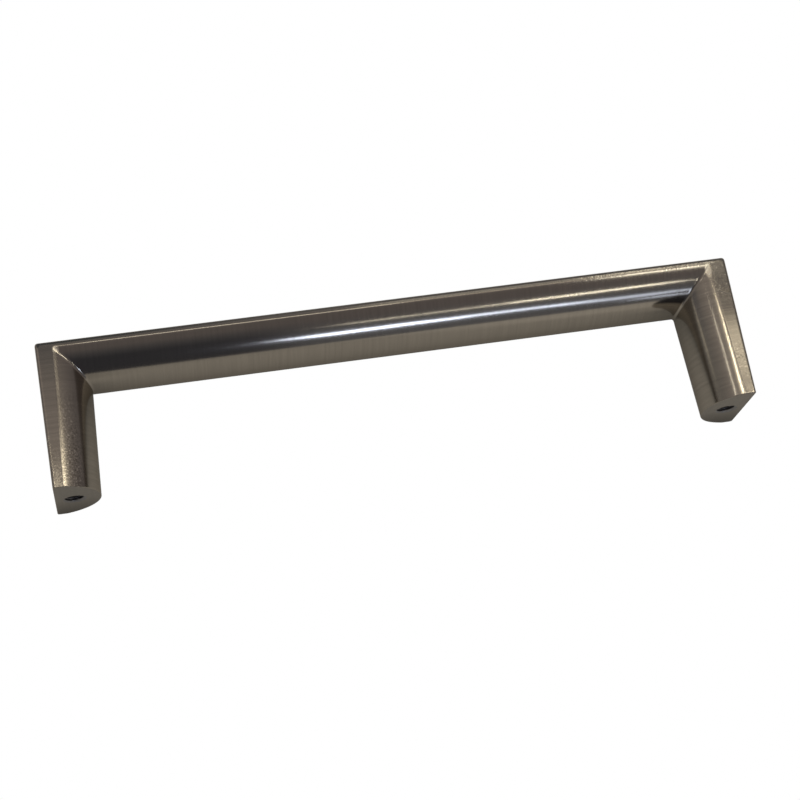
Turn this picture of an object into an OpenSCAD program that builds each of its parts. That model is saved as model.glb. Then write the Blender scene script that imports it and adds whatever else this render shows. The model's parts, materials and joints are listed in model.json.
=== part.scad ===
// Cabinet handle, one solid piece of metal: a bar with a leg at each end, joined by mitred corners.
// X runs along the bar, Y from the mounting plane out to the flat outer face, Z across the width.
// The origin is midway between the two screw holes, on the mounting plane. Sizes are in millimetres.

/* [Overall size] */
// Distance between the centres of the two screw holes
hole_spacing = 128; // [64:1:320]
// Distance from the mounting plane to the flat outer face
projection = 28.5; // [24:0.5:45]
// Width across the flat sides
handle_w = 18.5; // [15:0.5:24]

/* [Bar and legs] */
// Depth of the bar, from its flat outer face to the crown of its round back
bar_depth = 7.9; // [6.5:0.1:9]
// Height of the flat side of the bar, between the outer face and the round back
bar_margin = 1.2; // [0.8:0.1:2]
// Depth of a leg at the mounting plane, from its outer face to the crown of its round back
leg_depth_foot = 8.7; // [8.4:0.1:9.8]
// Depth of a leg at the inner corner, where its round back runs into that of the bar
leg_depth_top = 9.7; // [8.7:0.1:11]
// Distance from the outer face of a leg to the centre of its screw hole
hole_inset = 3.7; // [3.2:0.1:4.6]

/* [Eased edges] */
// Radius where a flat side runs into the round back
margin_r = 1; // [0.3:0.1:2]
// Radius of the long edges of the outer faces
edge_r = 0.4; // [0.1:0.1:0.7]
// Radius of the two outer corners, seen from the side
corner_r = 0.7; // [0.2:0.1:2]

/* [Screw holes] */
// Nominal diameter of the screw thread
thread_d = 4; // [3:0.5:5]
// Pitch of the screw thread
thread_pitch = 0.7; // [0.5:0.05:0.9]
// Depth of the drilled hole, without its drill point
hole_depth = 12; // [8:0.5:16]
// How far the countersunk rim stands out past the thread, measured on the radius
rim_width = 0.2; // [0.1:0.05:0.5]

/* [Hidden] */
metal = "#6b665d";
$fn = 96;
// Length that cutting shapes run past the body
past = 4;
// Included angles of the drill point and of the countersink
point_angle = 118;
rim_angle = 120;

overall_l = hole_spacing + 2 * hole_inset;
side_z = handle_w / 2;

// The round back is one arc, whose chord is the width and whose rise is what the flat side leaves
back_rise = bar_depth - bar_margin;
back_r = (back_rise * back_rise + side_z * side_z) / (2 * back_rise);
// Distance from the centre of that arc to the centre of the small arc that eases it into a flat side
ease_y = sqrt(pow(back_r - margin_r, 2) - pow(side_z - margin_r, 2));
// Half-width at which the two arcs meet
ease_z = back_r * (side_z - margin_r) / (back_r - margin_r);

// The back of a leg leans towards the middle of the handle as it rises from the mounting plane
lean = atan((leg_depth_top - leg_depth_foot) / (projection - bar_depth));
// Distance from the outer face of a leg to the centre of its arc, on the mounting plane
leg_centre = leg_depth_foot - back_r / cos(lean);

core_d = thread_d - thread_pitch;
rim_d = thread_d + 2 * rim_width;

// Section of bar and legs. X is across the width, and Y is the depth, from the centre of the arc
// towards the crown of the back. The flat sides run on outwards, where envelope() cuts them.
module back_section() {
    reach = leg_depth_top + past;
    translate([-side_z, -reach])
        square([handle_w, reach + ease_y]);
    for (side = [-1, 1])
        translate([side * (side_z - margin_r), ease_y])
            circle(r = margin_r);
    intersection() {
        circle(r = back_r);
        translate([-ease_z, 0])
            square([2 * ease_z, back_r + past]);
    }
}

// Bar, past both ends of the handle, with its back towards the mounting plane
module bar() {
    length = overall_l + 2 * past;
    translate([-length / 2, projection - bar_depth + back_r, 0])
        rotate([180, -90, 0])
            linear_extrude(height = length)
                back_section();
}

// Leg at the negative end of X, leaning by the lean angle, past both the foot and the outer face
module leg() {
    translate([leg_centre - overall_l / 2, 0, 0])
        rotate([0, 0, -lean])
            rotate([-90, -90, 0])
                translate([0, 0, -past])
                    linear_extrude(height = projection + 2 * past)
                        back_section();
}

// Rectangle from the origin to size, with its four corners rounded to radius r
module eased_rectangle(size, r) {
    translate([r, 0])
        square([size[0] - 2 * r, size[1]]);
    translate([0, r])
        square([size[0], size[1] - 2 * r]);
    for (x = [r, size[0] - r], y = [r, size[1] - r])
        translate([x, y])
            circle(r = r);
}

// What bar and legs are cut to: the feet, the flat sides, and the outer faces with their eased edges
module envelope() {
    intersection() {
        // Seen from the side, with sharp edges at the feet and eased corners at the outer face
        translate([0, 0, -side_z - past])
            linear_extrude(height = handle_w + 2 * past)
                intersection() {
                    translate([-overall_l / 2, -past])
                        eased_rectangle([overall_l, projection + past], corner_r);
                    translate([-overall_l / 2, 0])
                        square([overall_l, projection]);
                }
        // Seen along the bar, which eases the two long edges of its outer face
        translate([-overall_l / 2 - past, -past, -side_z])
            rotate([90, 0, 90])
                linear_extrude(height = overall_l + 2 * past)
                    eased_rectangle([projection + past, handle_w], edge_r);
        // Seen from the mounting plane, which eases the long edges of the legs
        translate([-overall_l / 2, projection + past, -side_z])
            rotate([90, 0, 0])
                linear_extrude(height = projection + 2 * past)
                    eased_rectangle([overall_l, handle_w], edge_r);
    }
}

// Blind hole for a tapped thread, with its countersunk rim on the mounting plane
module screw_hole() {
    point_h = core_d / 2 / tan(point_angle / 2);
    rim_h = (rim_d - core_d) / 2 / tan(rim_angle / 2);
    rotate([-90, 0, 0]) {
        translate([0, 0, -past])
            cylinder(h = hole_depth + past, d = core_d);
        translate([0, 0, hole_depth])
            cylinder(h = point_h, d1 = core_d, d2 = 0);
        cylinder(h = rim_h, d1 = rim_d, d2 = core_d);
    }
}

module handle() {
    color(metal)
        difference() {
            intersection() {
                envelope();
                union() {
                    bar();
                    for (end = [0, 1])
                        mirror([end, 0, 0])
                            leg();
                }
            }
            for (side = [-1, 1])
                translate([side * hole_spacing / 2, 0, 0])
                    screw_hole();
        }
}

handle();
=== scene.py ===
import json
import math
import bpy
from mathutils import Matrix, Vector


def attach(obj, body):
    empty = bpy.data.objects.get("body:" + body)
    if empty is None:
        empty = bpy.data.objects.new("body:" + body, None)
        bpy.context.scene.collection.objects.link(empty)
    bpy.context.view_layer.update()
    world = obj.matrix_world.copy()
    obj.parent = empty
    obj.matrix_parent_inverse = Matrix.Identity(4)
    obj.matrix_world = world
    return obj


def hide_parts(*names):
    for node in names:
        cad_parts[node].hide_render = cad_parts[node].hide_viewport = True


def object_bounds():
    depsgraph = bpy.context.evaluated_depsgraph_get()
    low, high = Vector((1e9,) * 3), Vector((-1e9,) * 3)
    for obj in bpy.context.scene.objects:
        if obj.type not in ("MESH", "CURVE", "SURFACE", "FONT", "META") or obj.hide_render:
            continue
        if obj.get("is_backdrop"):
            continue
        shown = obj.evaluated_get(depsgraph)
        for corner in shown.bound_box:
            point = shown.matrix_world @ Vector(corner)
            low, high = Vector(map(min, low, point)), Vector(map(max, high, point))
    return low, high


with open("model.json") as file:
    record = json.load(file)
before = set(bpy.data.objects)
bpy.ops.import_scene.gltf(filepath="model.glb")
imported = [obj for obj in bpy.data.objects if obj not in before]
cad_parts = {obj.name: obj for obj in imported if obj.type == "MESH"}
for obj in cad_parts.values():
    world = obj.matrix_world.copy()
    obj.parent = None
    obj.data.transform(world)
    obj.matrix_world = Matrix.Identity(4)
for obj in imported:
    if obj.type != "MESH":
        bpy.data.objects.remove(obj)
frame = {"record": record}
cad_low, cad_high = (list(corner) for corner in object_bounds())


# The camera looks down at the handle, which lies on one flat side, from the side of its feet.
# Its place, aim, roll and lens are those that bring the outlines of the solid onto the photograph's.
# It has no lens shift, so that the other views keep the whole handle in the picture.
mm = 0.001


def photo_camera():
    eye = Vector((-60.652, -104.587, 365.383)) * mm
    aim = Vector((0.136, 10.860, 0.0)) * mm
    roll = math.radians(18.779)
    ahead = (aim - eye).normalized()
    level = ahead.cross(Vector((0, 0, 1))).normalized()
    right = Matrix.Rotation(-roll, 3, ahead) @ level
    turn = Matrix((right, right.cross(ahead), -ahead)).transposed()
    data = bpy.data.cameras.new("camera")
    data.sensor_width = 36
    data.lens = 89.976
    data.clip_start = 0.01
    camera = bpy.data.objects.new("camera", data)
    camera.matrix_world = Matrix.Translation(eye) @ turn.to_4x4()
    bpy.context.scene.collection.objects.link(camera)
    bpy.context.scene.camera = camera


photo_camera()


# The handle is one solid piece of satin brushed metal, a bar of D section mitred to a leg of the same
# section at each end. Each foot has a blind tapped hole for the screw that holds it to a door.
# It is drawn like an extrusion, as an outline swept from foot to foot, which turns at the two mitres.
length = cad_high[0] - cad_low[0]
projection = cad_high[1]
side = cad_high[2]

# Depths run from the flat outer face to the crown of the round back. The back of a leg leans, so a
# leg is deeper at the mitre than at its foot.
bar_depth = 7.9 * mm
leg_depth_foot = 8.7 * mm
leg_depth_top = 9.7 * mm
bar_margin = 1.2 * mm
margin_r = 1.0 * mm
edge_r = 0.6 * mm
corner_ease = 0.7 * mm
crease_ease = 0.5 * mm
foot_ease = 0.12 * mm
leg_slope = (leg_depth_top - leg_depth_foot) / (projection - bar_depth)
back_rise = bar_depth - bar_margin
back_r = (back_rise ** 2 + side ** 2) / (2 * back_rise)

# The drill and the countersink are given by their included angles in degrees
right_hole = next(mount for mount in frame["record"]["mounts"] if mount["name"] == "hole_right")
hole_at = right_hole["pos_m"][0]
core_r = right_hole["dims"]["r_mm"] * mm
thread_r = 2.0 * mm
thread_pitch = 0.7 * mm
rim_r = 2.2 * mm
hole_depth = 12.0 * mm
rim_angle = 120
point_angle = 118


# Rows of the outline along an arc, turning from the start angle to the end angle
def arc(centre_across, centre_depth, radius, start, end, steps, with_back):
    rows = []
    for step in range(steps + 1):
        turn = start + (end - start) * step / steps
        across, depth = math.cos(turn), math.sin(turn)
        rows.append((centre_across + radius * across, centre_depth + radius * depth,
                     across, depth, with_back))
    return rows


# Half of the outline, from the middle of the outer face to the crown of the back, as rows of
# across, depth, outward normal across and in depth, and how far the point moves with the back
def half_outline():
    quarter = math.pi / 2
    # Extra points close beside the roundings keep the flats flat in the shading
    hold = 0.06 * mm
    ease_across = side - margin_r
    ease_depth = bar_depth - back_r + math.sqrt((back_r - margin_r) ** 2 - ease_across ** 2)
    ease_turn = math.asin((ease_depth - bar_depth + back_r) / (back_r - margin_r))
    rows = [(0.0, 0.0, 0.0, -1.0, 0.0), (side - edge_r - hold, 0.0, 0.0, -1.0, 0.0)]
    rows += arc(side - edge_r, edge_r, edge_r, -quarter, 0.0, 6, 0.0)
    rows += [(side, edge_r + hold, 1.0, 0.0, 0.0), (side, ease_depth - hold, 1.0, 0.0, 1.0)]
    rows += arc(ease_across, ease_depth, margin_r, 0.0, ease_turn, 8, 1.0)
    rows += arc(0.0, bar_depth - back_r, back_r, ease_turn, quarter, 48, 1.0)[1:]
    return rows


def outline_mesh():
    half = half_outline()
    rows = half + [(-row[0], row[1], -row[2], row[3], row[4]) for row in half[-2:0:-1]]
    mesh = bpy.data.meshes.new("outline")
    joints = [(k, (k + 1) % len(rows)) for k in range(len(rows))]
    mesh.from_pydata([(row[0], row[1], 0.0) for row in rows], joints, [])
    for k, name in enumerate(("across", "depth", "normal_across", "normal_depth", "with_back")):
        values = mesh.attributes.new(name, "FLOAT", "POINT")
        values.data.foreach_set("value", [row[k] for row in rows])
    return mesh


# A number that flows through a node tree. Sums and products of such numbers are written as plain
# arithmetic, and each becomes a Math node.
class Flow:
    def __init__(self, socket):
        self.socket = socket

    def math(self, operation, *others):
        node = self.socket.id_data.nodes.new("ShaderNodeMath")
        node.operation = operation
        for slot, value in zip(node.inputs, (self, *others)):
            plug(value, slot)
        return Flow(node.outputs[0])

    def __add__(self, other):
        return self.math("ADD", other)

    def __radd__(self, other):
        return self.math("ADD", other)

    def __sub__(self, other):
        return self.math("SUBTRACT", other)

    def __rsub__(self, other):
        return (self * -1).math("ADD", other)

    def __mul__(self, other):
        return self.math("MULTIPLY", other)

    def __rmul__(self, other):
        return self.math("MULTIPLY", other)

    def __truediv__(self, other):
        return self.math("DIVIDE", other)

    def above(self, other):
        return self.math("GREATER_THAN", other)

    def least(self, other):
        return self.math("MINIMUM", other)

    def most(self, other):
        return self.math("MAXIMUM", other)

    def absolute(self):
        return self.math("ABSOLUTE")

    def held(self):
        return self.most(0.0).least(1.0)

    # 0 up to the start, then a straight rise to 1 over the run
    def past(self, start, run):
        return ((self - start) / run).held()

    # 1 while the run or more is left to the limit, then a straight fall to 0 at the limit
    def before(self, limit, run):
        return ((limit - self) / run).held()

    # A share from 0 to 1 that starts and ends softly
    def smooth(self):
        return self * self * self * (self * (self * 6 - 15) + 10)


def plug(value, slot):
    if isinstance(value, Flow):
        slot.id_data.links.new(value.socket, slot)
    else:
        slot.default_value = value


def add(tree, kind, settings=None, **inputs):
    node = tree.nodes.new(kind)
    for name, value in (settings or {}).items():
        setattr(node, name, value)
    for name, value in inputs.items():
        plug(value, node.inputs[name.replace("_", " ")])
    return node


def out(node, name=0):
    return Flow(node.outputs[name])


def split(tree, vector):
    spot = add(tree, "ShaderNodeSeparateXYZ", Vector=vector)
    return out(spot, "X"), out(spot, "Y"), out(spot, "Z")


def named(tree, name):
    return out(add(tree, "GeometryNodeInputNamedAttribute", {"data_type": "FLOAT"}, Name=name))


def position(tree):
    return split(tree, out(add(tree, "GeometryNodeInputPosition")))


def place(tree, geometry, x, y, z):
    spot = add(tree, "ShaderNodeCombineXYZ", X=x, Y=y, Z=z)
    return out(add(tree, "GeometryNodeSetPosition", Geometry=geometry, Position=out(spot)))


def mix(low, high, share):
    return low * (1 - share) + high * share


hole_sizes = ("Core radius", "Thread radius", "Thread pitch", "Rim radius", "Hole depth")
round_steps = 96


# A blind tapped hole along +Y from the origin: a tube whose radius follows the thread's flanks,
# opened to the countersunk rim at its mouth and closed by the drill point
def tapped_hole():
    tree = bpy.data.node_groups.new("tapped_hole", "GeometryNodeTree")
    face = tree.interface
    face.new_socket("Geometry", in_out="OUTPUT", socket_type="NodeSocketGeometry")
    for name in hole_sizes:
        face.new_socket(name, in_out="INPUT", socket_type="NodeSocketFloat")
    start = tree.nodes.new("NodeGroupInput")
    core, crest, pitch, rim, deep = (out(start, name) for name in hole_sizes)
    rim_slope = math.tan(math.radians(rim_angle / 2))
    point_slope = math.tan(math.radians(point_angle / 2))
    full_turn = 2 * math.pi
    down_steps = 167
    grid = add(tree, "GeometryNodeMeshGrid", Size_X=1.0, Size_Y=1.0,
               Vertices_X=round_steps + 1, Vertices_Y=down_steps + 1)
    grid_x, grid_y, _ = position(tree)
    turn = (grid_x + 0.5) * full_turn
    end = deep + core / point_slope
    along = (grid_y + 0.5) * end
    # From the core, a straight flank leads out to a narrow flat and back within each pitch, and the
    # thread fades out before the drill point
    phase = (along / pitch - turn / full_turn).math("FRACT")
    flank = (phase * 2 - 1).absolute().past(0.25, 0.625)
    runout = (deep - along).past(1.5 * mm, 1.0 * mm)
    wall = core + (crest - core) * flank * runout
    wall = wall.most(rim - along * rim_slope)
    wall = wall.least((end - along) * point_slope)
    tube = place(tree, out(grid), wall * turn.math("COSINE"), along, wall * turn.math("SINE"))
    finish = tree.nodes.new("NodeGroupOutput")
    plug(tube, finish.inputs[0])
    return tree


def swept_handle(metal, foot_metal, thread_metal):
    tree = bpy.data.node_groups.new("swept_handle", "GeometryNodeTree")
    tree.is_modifier = True
    face = tree.interface
    face.new_socket("Geometry", in_out="INPUT", socket_type="NodeSocketGeometry")
    face.new_socket("Geometry", in_out="OUTPUT", socket_type="NodeSocketGeometry")
    sizes = {
        "Length": length, "Projection": projection, "Bar depth": bar_depth,
        "Leg depth": leg_depth_foot, "Leg slope": leg_slope,
        "Corner easing": corner_ease, "Crease easing": crease_ease, "Foot easing": foot_ease,
        "Hole place": hole_at, "Core radius": core_r, "Thread radius": thread_r,
        "Thread pitch": thread_pitch, "Rim radius": rim_r, "Hole depth": hole_depth,
    }
    for name in sizes:
        face.new_socket(name, in_out="INPUT", socket_type="NodeSocketFloat")
    start = tree.nodes.new("NodeGroupInput")
    outline = out(add(tree, "GeometryNodeMeshToCurve", Mesh=out(start, "Geometry")))
    size = {name: out(start, name) for name in sizes}

    # The path only counts stations: 0 to 1 eases the foot, 1 to 2 is the leg, 2 to 3 the mitre and
    # 3 to 4 half of the bar, and 4 to 8 is the same in mirror image
    stations, rings = 8, 12
    path = out(add(tree, "GeometryNodeCurvePrimitiveLine"))
    path = out(add(tree, "GeometryNodeResampleCurve", Curve=path, Count=stations * rings + 1))
    count = out(add(tree, "GeometryNodeSplineParameter"), "Factor") * stations
    path = out(add(tree, "GeometryNodeStoreNamedAttribute", {"data_type": "FLOAT"},
                   Geometry=path, Name="station", Value=count))
    sweep = out(add(tree, "GeometryNodeCurveToMesh", Curve=path, Profile_Curve=outline))

    across, depth = named(tree, "across"), named(tree, "depth")
    normal_across, normal_depth = named(tree, "normal_across"), named(tree, "normal_depth")
    with_back, station = named(tree, "with_back"), named(tree, "station")

    # How far in from the end of the handle a point of the outline lies, at a height on the leg
    def leg_x(height):
        lean = size["Leg depth"] + size["Leg slope"] * height - size["Bar depth"]
        return depth + with_back * lean

    # Each point rises up the leg to where the mitre plane cuts its path, turns there within its
    # easing, and runs on along the bar to the middle. The foot is inset by its own easing.
    near = station.least(stations - station)
    foot, leg, mitre, bar = ((near - k).held() for k in range(4))
    ease = mix(size["Corner easing"], size["Crease easing"], with_back)
    mitre_y = size["Projection"] - depth
    leg_y = size["Foot easing"] * foot * foot + (mitre_y - ease - size["Foot easing"]) * leg.smooth()
    turned = mitre * (2 - mitre)
    inset = size["Foot easing"] * (1 - foot) * (1 - foot)
    half = size["Length"] / 2
    x = mix(leg_x(leg_y), leg_x(mitre_y), turned) + ease * mitre * mitre
    x = mix(x, half, bar.smooth())
    x = half - x + inset * normal_depth
    right = station.above(stations / 2) * 2 - 1
    sweep = place(tree, sweep, x * right, leg_y + ease * turned, across - inset * normal_across)
    mid_mitre = 2.5
    sweep = out(add(tree, "GeometryNodeStoreNamedAttribute", {"data_type": "FLOAT", "domain": "FACE"},
                    Geometry=sweep, Name="on_leg", Value=1 - near.above(mid_mitre)))
    sweep = out(add(tree, "GeometryNodeSetMaterial", Geometry=sweep, Material=metal))

    # Each foot is the outline at the mounting plane, filled up to the rim of its hole
    hole_group = tapped_hole()
    inset = size["Foot easing"]
    parts = [sweep]
    rim = out(add(tree, "GeometryNodeCurvePrimitiveCircle", Resolution=round_steps,
                  Radius=size["Rim radius"]))
    rim_x, rim_y, _ = position(tree)
    rim = place(tree, rim, rim_x, half - size["Hole place"] + rim_y, 0.0)
    edge = place(tree, outline, across - inset * normal_across, leg_x(0.0) - inset * normal_depth, 0.0)
    both = add(tree, "GeometryNodeJoinGeometry")
    for loop in (edge, rim):
        plug(loop, both.inputs[0])
    cap = out(add(tree, "GeometryNodeFillCurve", Curve=out(both)))
    cap = out(add(tree, "GeometryNodeSetMaterial", Geometry=cap, Material=foot_metal))
    for sign in (-1, 1):
        cap_x, cap_y, _ = position(tree)
        foot_face = place(tree, cap, (half - cap_y) * sign, 0.0, cap_x)
        if sign < 0:
            foot_face = out(add(tree, "GeometryNodeFlipFaces", Mesh=foot_face))
        parts.append(foot_face)
        hole = tree.nodes.new("GeometryNodeGroup")
        hole.node_tree = hole_group
        for name in hole_sizes:
            plug(size[name], hole.inputs[name])
        hole_x, hole_y, hole_z = position(tree)
        hole = place(tree, out(hole), hole_x + size["Hole place"] * sign, hole_y, hole_z)
        parts.append(out(add(tree, "GeometryNodeSetMaterial", Geometry=hole, Material=thread_metal)))
    joined = add(tree, "GeometryNodeJoinGeometry")
    for part in parts:
        plug(part, joined.inputs[0])
    whole = out(add(tree, "GeometryNodeMergeByDistance", Geometry=out(joined), Distance=0.001 * mm))
    whole = out(add(tree, "GeometryNodeRealizeInstances", Geometry=whole))
    finish = tree.nodes.new("NodeGroupOutput")
    plug(whole, finish.inputs[0])
    return tree, sizes


# The baked mesh, with its flat feet left flat and every other face shaded smooth up to its edges
def handle_body(metal, foot_metal, thread_metal):
    raw = bpy.data.objects.new("outline", outline_mesh())
    bpy.context.scene.collection.objects.link(raw)
    tree, sizes = swept_handle(metal, foot_metal, thread_metal)
    sweep = raw.modifiers.new("sweep", "NODES")
    sweep.node_group = tree
    for item in tree.interface.items_tree:
        if item.item_type == "SOCKET" and item.in_out == "INPUT" and item.name in sizes:
            sweep[item.identifier] = sizes[item.name]
    seen = raw.evaluated_get(bpy.context.evaluated_depsgraph_get())
    mesh = bpy.data.meshes.new_from_object(seen)
    bpy.data.objects.remove(raw)

    finishes = [metal, foot_metal, thread_metal]
    chosen = [finishes.index(mesh.materials[face.material_index]) for face in mesh.polygons]
    mesh.materials.clear()
    for finish in finishes:
        mesh.materials.append(finish)
    mesh.polygons.foreach_set("material_index", chosen)
    mesh.polygons.foreach_set("use_smooth", [finishes[k] is not foot_metal for k in chosen])
    sharp_from = math.radians(35)
    mesh.set_sharp_from_angle(angle=sharp_from)
    for name in ("across", "depth", "normal_across", "normal_depth", "with_back", "station"):
        mesh.attributes.remove(mesh.attributes[name])
    body = bpy.data.objects.new("handle_body", mesh)
    bpy.context.scene.collection.objects.link(body)
    return body


def coordinates(tree, name="Object"):
    return split(tree, out(tree.nodes.new("ShaderNodeTexCoord"), name))


# What a brushing belt that ran across the metal left: lines, narrow along the piece and long across
# it, a grain of small round dots, and a drift of broad patches. Each is noise, stretched by the rates
# along and across the piece that its row gives as shares of the lines per mm.
def brush_lines():
    group = bpy.data.node_groups.new("brush_lines", "ShaderNodeTree")
    for name, value in (("On leg", 0.0), ("Lines per mm", 2.4)):
        socket = group.interface.new_socket(name, in_out="INPUT", socket_type="NodeSocketFloat")
        socket.default_value = value
    for name in ("Lines", "Grain", "Drift"):
        group.interface.new_socket(name, in_out="OUTPUT", socket_type="NodeSocketFloat")
    start, finish = group.nodes.new("NodeGroupInput"), group.nodes.new("NodeGroupOutput")
    on_leg = out(start, "On leg")
    per_m = out(start, "Lines per mm") * 1000
    x, y, z = coordinates(group)
    along = mix(x, y, on_leg)
    around = mix(y, x, on_leg)
    rates = (("Lines", 1.0, 0.03), ("Grain", 1.35, 1.15), ("Drift", 0.1, 0.15))
    for name, rate_along, rate_across in rates:
        where = add(group, "ShaderNodeCombineXYZ", X=along * (per_m * rate_along),
                    Y=around * per_m * rate_across, Z=z * per_m * rate_across)
        noise = add(group, "ShaderNodeTexNoise", Vector=out(where), Scale=1.0, Detail=2.0, Roughness=0.6)
        plug(out(noise), finish.inputs[name])
    return group


def placed(tree, group):
    node = tree.nodes.new("ShaderNodeGroup")
    node.node_tree = group
    return node


def surface(material):
    material.use_nodes = True
    tree = material.node_tree
    tree.nodes.clear()
    shader = tree.nodes.new("ShaderNodeBsdfPrincipled")
    result = tree.nodes.new("ShaderNodeOutputMaterial")
    tree.links.new(shader.outputs[0], result.inputs[0])
    return tree, shader


# A colour between two others. Sockets 6 and 7 of a Mix node take its colours, and 2 puts one out.
def shade(tree, low, high, share):
    node = add(tree, "ShaderNodeMix", {"data_type": "RGBA"})
    plug(share, node.inputs[0])
    for slot, colour in ((node.inputs[6], low), (node.inputs[7], high)):
        plug(colour if isinstance(colour, Flow) else (*colour, 1), slot)
    return out(node, 2)


# The finish of bar and legs is satin, brushed across them, in a warm dark nickel tone. It is worn at
# the left foot, which is speckled, and on the flat side at the right end, which is scuffed in patches.
# A small bright spot where the crease of each mitre starts is a painted highlight.
def brushed_metal(lines):
    material = bpy.data.materials.new("brushed_metal")
    tree, shader = surface(material)
    on_leg = out(add(tree, "ShaderNodeAttribute", {"attribute_name": "on_leg"}), "Fac")
    brush = placed(tree, lines)
    plug(on_leg, brush.inputs["On leg"])
    strokes, grain, drift = out(brush, "Lines"), out(brush, "Grain"), out(brush, "Drift")
    x, y, z = coordinates(tree)

    # Where it is worn: the flat side is the one turned up, and on the left foot the wear ends lower
    # there than on the round back
    flat_side = z.past(9.12 * mm, 0.05 * mm)
    wear_top = mix(20 * mm, 10 * mm, flat_side)
    left_foot = (x * -1).past(56 * mm, 4 * mm) * y.before(wear_top, 13 * mm)
    left_foot = left_foot * z.past(6.8 * mm, 1 * mm)
    by_foot = y.before(12 * mm, 3 * mm) * 0.45
    by_bar = y.past(18 * mm, 3 * mm) * 0.75
    right_end = x.past(30 * mm, 12 * mm) * flat_side * by_foot.most(by_bar)
    scuffed = left_foot.most(right_end * drift.past(0.36, 0.125))

    # The painted highlights are light ovals of colour, which fade with the square of the distance from
    # their middles. The right one is longer along the leg than the left one.
    on_right = x.above(0)
    spot_across = (x.absolute() - 63.9 * mm) * 2.0
    spot_up = (y - mix(26.8 * mm, 26.2 * mm, on_right)) * mix(2.0, 0.85, on_right)
    spot_edge, spot_fade = 2.2 * mm * mm, 1.6 * mm * mm
    painted_highlight = ((spot_edge - spot_across * spot_across - spot_up * spot_up) / spot_fade).held()
    painted_highlight = painted_highlight * z.past(7.5 * mm, 0.5 * mm)

    # Wear shows as dark pits and bright dots, the painted highlights take the same light colour as the
    # dots, and the strokes are stronger on the legs
    pitted = grain.before(0.47, 0.125) * scuffed
    bright_dots_and_highlight = (grain.past(0.57, 0.125) * scuffed).most(painted_highlight)
    stroke = ((strokes - 0.5) * mix(1.0, 1.8, on_leg) + 0.5).held()
    dull, bright = (0.37, 0.345, 0.315), (0.47, 0.435, 0.395)
    pit, bare_and_highlight = (0.20, 0.18, 0.155), (0.88, 0.83, 0.74)
    colour = shade(tree, dull, bright, stroke)
    colour = shade(tree, colour, pit, pitted)
    plug(shade(tree, colour, bare_and_highlight, bright_dots_and_highlight), shader.inputs["Base Color"])
    rough = mix(0.115, 0.12, on_leg) + scuffed * 0.04 + pitted * 0.08 + painted_highlight * 0.16
    plug(rough, shader.inputs["Roughness"])
    shader.inputs["Metallic"].default_value = 1.0
    shader.inputs["Specular Tint"].default_value = (0.7, 0.68, 0.65, 1)
    shader.inputs["Anisotropic"].default_value = 0.7

    # The strokes, and so the tangent, run round the bar and the legs, square to their length
    way = add(tree, "ShaderNodeCombineXYZ", X=1 - on_leg, Y=on_leg)
    around = add(tree, "ShaderNodeVectorMath", {"operation": "CROSS_PRODUCT"})
    plug(out(way), around.inputs[0])
    plug(out(tree.nodes.new("ShaderNodeNewGeometry"), "Normal"), around.inputs[1])
    plug(out(around), shader.inputs["Tangent"])
    height = strokes * 0.3 + grain * (left_foot * 2.4 + 0.5)
    bump = add(tree, "ShaderNodeBump", Strength=1.0, Distance=0.0015 * mm, Height=height)
    plug(out(bump), shader.inputs["Normal"])
    return material


# The feet are sawn, matt and a little darker, and carry painted shade that darkens them towards the side
# that lies on the table
def sawn_metal(lines):
    material = bpy.data.materials.new("foot_metal")
    tree, shader = surface(material)
    _, _, z = coordinates(tree)
    dark, dull, bright = (0.17, 0.16, 0.15), (0.31, 0.295, 0.275), (0.38, 0.36, 0.335)
    colour = shade(tree, dull, bright, out(placed(tree, lines), "Lines"))
    # Painted shade, deepening towards the side that lies on the table
    colour = shade(tree, dark, colour, z.past(-9.5 * mm, 9 * mm))
    plug(colour, shader.inputs["Base Color"])
    shader.inputs["Roughness"].default_value = 0.5
    shader.inputs["Metallic"].default_value = 1.0
    return material


# The threads are cut into the metal; their plain cooler grey is kept darker than the finish outside, as
# painted shade in the hole
def tapped_metal(lines):
    material = bpy.data.materials.new("thread_metal")
    tree, shader = surface(material)
    dark, light = (0.20, 0.20, 0.215), (0.34, 0.34, 0.355)
    colour = shade(tree, dark, light, out(placed(tree, lines), "Grain"))
    plug(colour, shader.inputs["Base Color"])
    shader.inputs["Roughness"].default_value = 0.35
    shader.inputs["Metallic"].default_value = 1.0
    return material


lines = brush_lines()
body = handle_body(brushed_metal(lines), sawn_metal(lines), tapped_metal(lines))
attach(body, "root")
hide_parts("handle")
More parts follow.
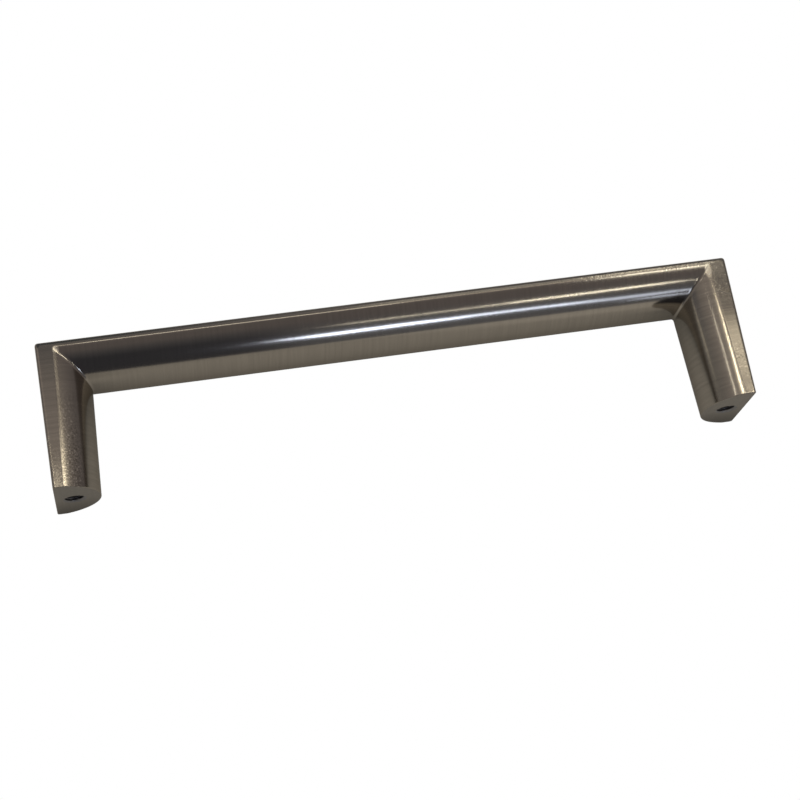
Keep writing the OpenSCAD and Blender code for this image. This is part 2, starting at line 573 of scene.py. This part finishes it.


# The floor is a wide plain pale table, a single flat face just under the side that the handle lies on.
# The camera sees it white. The metal mirrors it as a warm mid grey glow, with painted shade close to the
# handle, and on the side of the feet painted light, a little lighter to the right and darker to the
# left.
def pale_floor():
    reach = 3.0
    level = cad_low[2] - 0.02 * mm
    mesh = bpy.data.meshes.new("floor")
    corners = [(reach * x, reach * y, level) for x, y in ((-1, -1), (1, -1), (1, 1), (-1, 1))]
    mesh.from_pydata(corners, [], [(0, 1, 2, 3)])
    material = bpy.data.materials.new("floor")
    material.use_nodes = True
    tree = material.node_tree
    tree.nodes.clear()
    seen = add(tree, "ShaderNodeEmission", Color=(1, 1, 1, 1), Strength=1.0)
    close = add(tree, "ShaderNodeAmbientOcclusion", {"samples": 8}, Distance=50 * mm)
    x, y, _ = coordinates(tree)
    front = (y * -1).past(15 * mm, 30 * mm)
    lighter = x.past(20 * mm, 30 * mm) * 0.3
    darker = (x * -1).past(45 * mm, 20 * mm) * 0.3
    lit = 1 + front * (lighter - darker)
    # Painted shade: the mirrored table darkens where the handle closes it in, and its strength paints
    # light across it
    shaded, open_table = (0.10, 0.098, 0.09), (0.36, 0.335, 0.29)
    colour = shade(tree, shaded, open_table, out(close, "AO"))
    mirrored = add(tree, "ShaderNodeEmission", Color=colour, Strength=lit)
    path = tree.nodes.new("ShaderNodeLightPath")
    both = tree.nodes.new("ShaderNodeMixShader")
    result = tree.nodes.new("ShaderNodeOutputMaterial")
    tree.links.new(path.outputs["Is Camera Ray"], both.inputs[0])
    tree.links.new(mirrored.outputs[0], both.inputs[1])
    tree.links.new(seen.outputs[0], both.inputs[2])
    tree.links.new(both.outputs[0], result.inputs[0])
    mesh.materials.append(material)
    floor = bpy.data.objects.new("floor", mesh)
    bpy.context.scene.collection.objects.link(floor)
    floor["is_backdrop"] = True


pale_floor()


# The room round the table is dim and brown, and seen only as the metal mirrors it. Each part of it is
# painted over the ones before, by the direction in which it lies from the handle: x runs along the
# bar, and y from the side of the feet to the side of the outer face. The camera sees it white.
def dim_room():
    world = bpy.data.worlds.new("room")
    bpy.context.scene.world = world
    world.use_nodes = True
    tree = world.node_tree
    tree.nodes.clear()
    x, y, _ = coordinates(tree, "Generated")
    behind_bar = y.past(0.3285, 0.02)
    wall = shade(tree, (0.16, 0.142, 0.136), (0.17, 0.165, 0.165), behind_bar)
    unlit = y.past(0.334, 0.01) * x.before(0.10, 0.08)
    wall = shade(tree, wall, (0.085, 0.09, 0.095), unlit)
    by_feet = (y * -1).past(0.50, 0.30)
    wall = shade(tree, wall, (0.13, 0.13, 0.135), by_feet)
    darkest = by_feet * x.before(0.12, 0.03)
    wall = shade(tree, wall, (0.046, 0.046, 0.052), darkest)
    left_wall = (x * -1).past(0.40, 0.30)
    wall = shade(tree, wall, (0.22, 0.205, 0.185), left_wall)
    ceiling_edge = 0.3515 - x.least(0.34) * 0.12
    ceiling = y.past(-0.34, 0.30) * y.before(ceiling_edge, 0.03) * x.absolute().before(0.95, 0.25)
    wall = shade(tree, wall, (0.33, 0.292, 0.262), ceiling)
    far_corner = (x * -1).past(0.85, 0.08) * y.past(0.245, 0.02)
    wall = shade(tree, wall, (0.09, 0.09, 0.11), far_corner)
    path = tree.nodes.new("ShaderNodeLightPath")
    seen = shade(tree, wall, (1, 1, 1), out(path, "Is Camera Ray"))
    sky = add(tree, "ShaderNodeBackground", Color=seen, Strength=1.0)
    result = tree.nodes.new("ShaderNodeOutputWorld")
    tree.links.new(sky.outputs[0], result.inputs[0])


dim_room()


# The lamps are long soft strips, which the metal mirrors as bands and lines. Those far away are set by
# direction, and those near the table by place, because the two legs see those from different sides.
# A lamp runs from one place to another and faces the handle, and its power goes by its area.
def soft_lamp(name, start, finish, width, colour, strength):
    start, finish = Vector(start), Vector(finish)
    along = (finish - start).normalized()
    middle = (start + finish) / 2
    away = (middle - along * middle.dot(along)).normalized()
    data = bpy.data.lights.new(name, "AREA")
    data.shape = "RECTANGLE"
    data.size = (finish - start).length
    data.size_y = width
    data.color = colour
    watts_per_m2 = 4
    data.energy = strength * watts_per_m2 * data.size * width
    lamp = bpy.data.objects.new(name, data)
    turn = Matrix((along, away.cross(along), away)).transposed()
    lamp.matrix_world = Matrix.Translation(middle) @ turn.to_4x4()
    lamp.visible_camera = False
    bpy.context.scene.collection.objects.link(lamp)


# A place far from the handle, in the direction given
def far(x, y, z):
    distance = 1.2
    return Vector((x, y, z)).normalized() * distance


# A far place that the bar's back mirrors: its lean along the bar, and its angle round the bar
def round_bar(lean, angle):
    swing = math.sqrt(1 - lean * lean)
    turn = math.radians(angle)
    return far(lean, -swing * math.sin(turn), swing * math.cos(turn))


# A place above the table, given by what it stands over
def over(x, y):
    height = 0.30
    return (x, y, height)


warm = (1.0, 0.95, 0.78)
gold = (1.0, 0.91, 0.68)
cool = (0.70, 0.80, 1.0)
soft_lamp("window", round_bar(0.097, 68.2), round_bar(0.195, 65.7), 0.11, cool, 5.5)
soft_lamp("window_right", round_bar(0.195, 65.7), round_bar(0.287, 67.3), 0.085, cool, 3.0)
soft_lamp("window_low", round_bar(0.287, 67.5), round_bar(0.348, 71.1), 0.11, cool, 1.35)
soft_lamp("window_end", round_bar(0.322, 78.2), round_bar(0.349, 78.2), 0.05, cool, 2.2)
soft_lamp("tube", round_bar(0.125, 47.0), round_bar(0.240, 46.6), 0.03, warm, 2.0)
soft_lamp("tube_right", round_bar(0.240, 46.6), round_bar(0.343, 45.9), 0.027, warm, 7.5)
soft_lamp("bar_edge", far(0.14, 0.373, 0.91), far(0.286, 0.373, 0.87), 0.05, warm, 0.5)
soft_lamp("bar_edge_right", far(0.286, 0.373, 0.87), far(0.366, 0.371, 0.84), 0.05, warm, 1.7)
soft_lamp("line_1", far(-0.329, 0.293, 0.897), far(-0.364, 0.205, 0.906), 0.02, gold, 13.0)
soft_lamp("line_2", far(-0.596, 0.279, 0.753), far(-0.626, 0.204, 0.756), 0.02, warm, 4.0)
soft_lamp("line_3", far(-0.946, 0.270, 0.181), far(-0.956, 0.248, 0.156), 0.06, gold, 0.5)
soft_lamp("foot", far(0.382, 0.223, 0.867), far(0.592, 0.223, 0.723), 0.03, gold, 8.0)
soft_lamp("streak", far(0.558, 0.337, 0.747), far(0.610, 0.252, 0.747), 0.02, gold, 1.0)
soft_lamp("near", over(0.035, 0.094), over(0.15, 0.094), 0.020, gold, 0.95)
soft_lamp("near_right", over(0.153, 0.103), over(0.198, 0.103), 0.020, gold, 0.8)
soft_lamp("near_corner", over(0.119, 0.136), over(0.152, 0.136), 0.016, gold, 0.55)
soft_lamp("near_foot", over(-0.088, 0.076), over(-0.064, 0.076), 0.022, gold, 1.3)
soft_lamp("near_line", over(-0.06, 0.053), over(0.05, 0.055), 0.03, warm, 1.4)
soft_lamp("near_end", over(0.145, -0.070), over(0.145, 0.045), 0.04, warm, 2.2)

bpy.context.scene.view_settings.view_transform = "Standard"
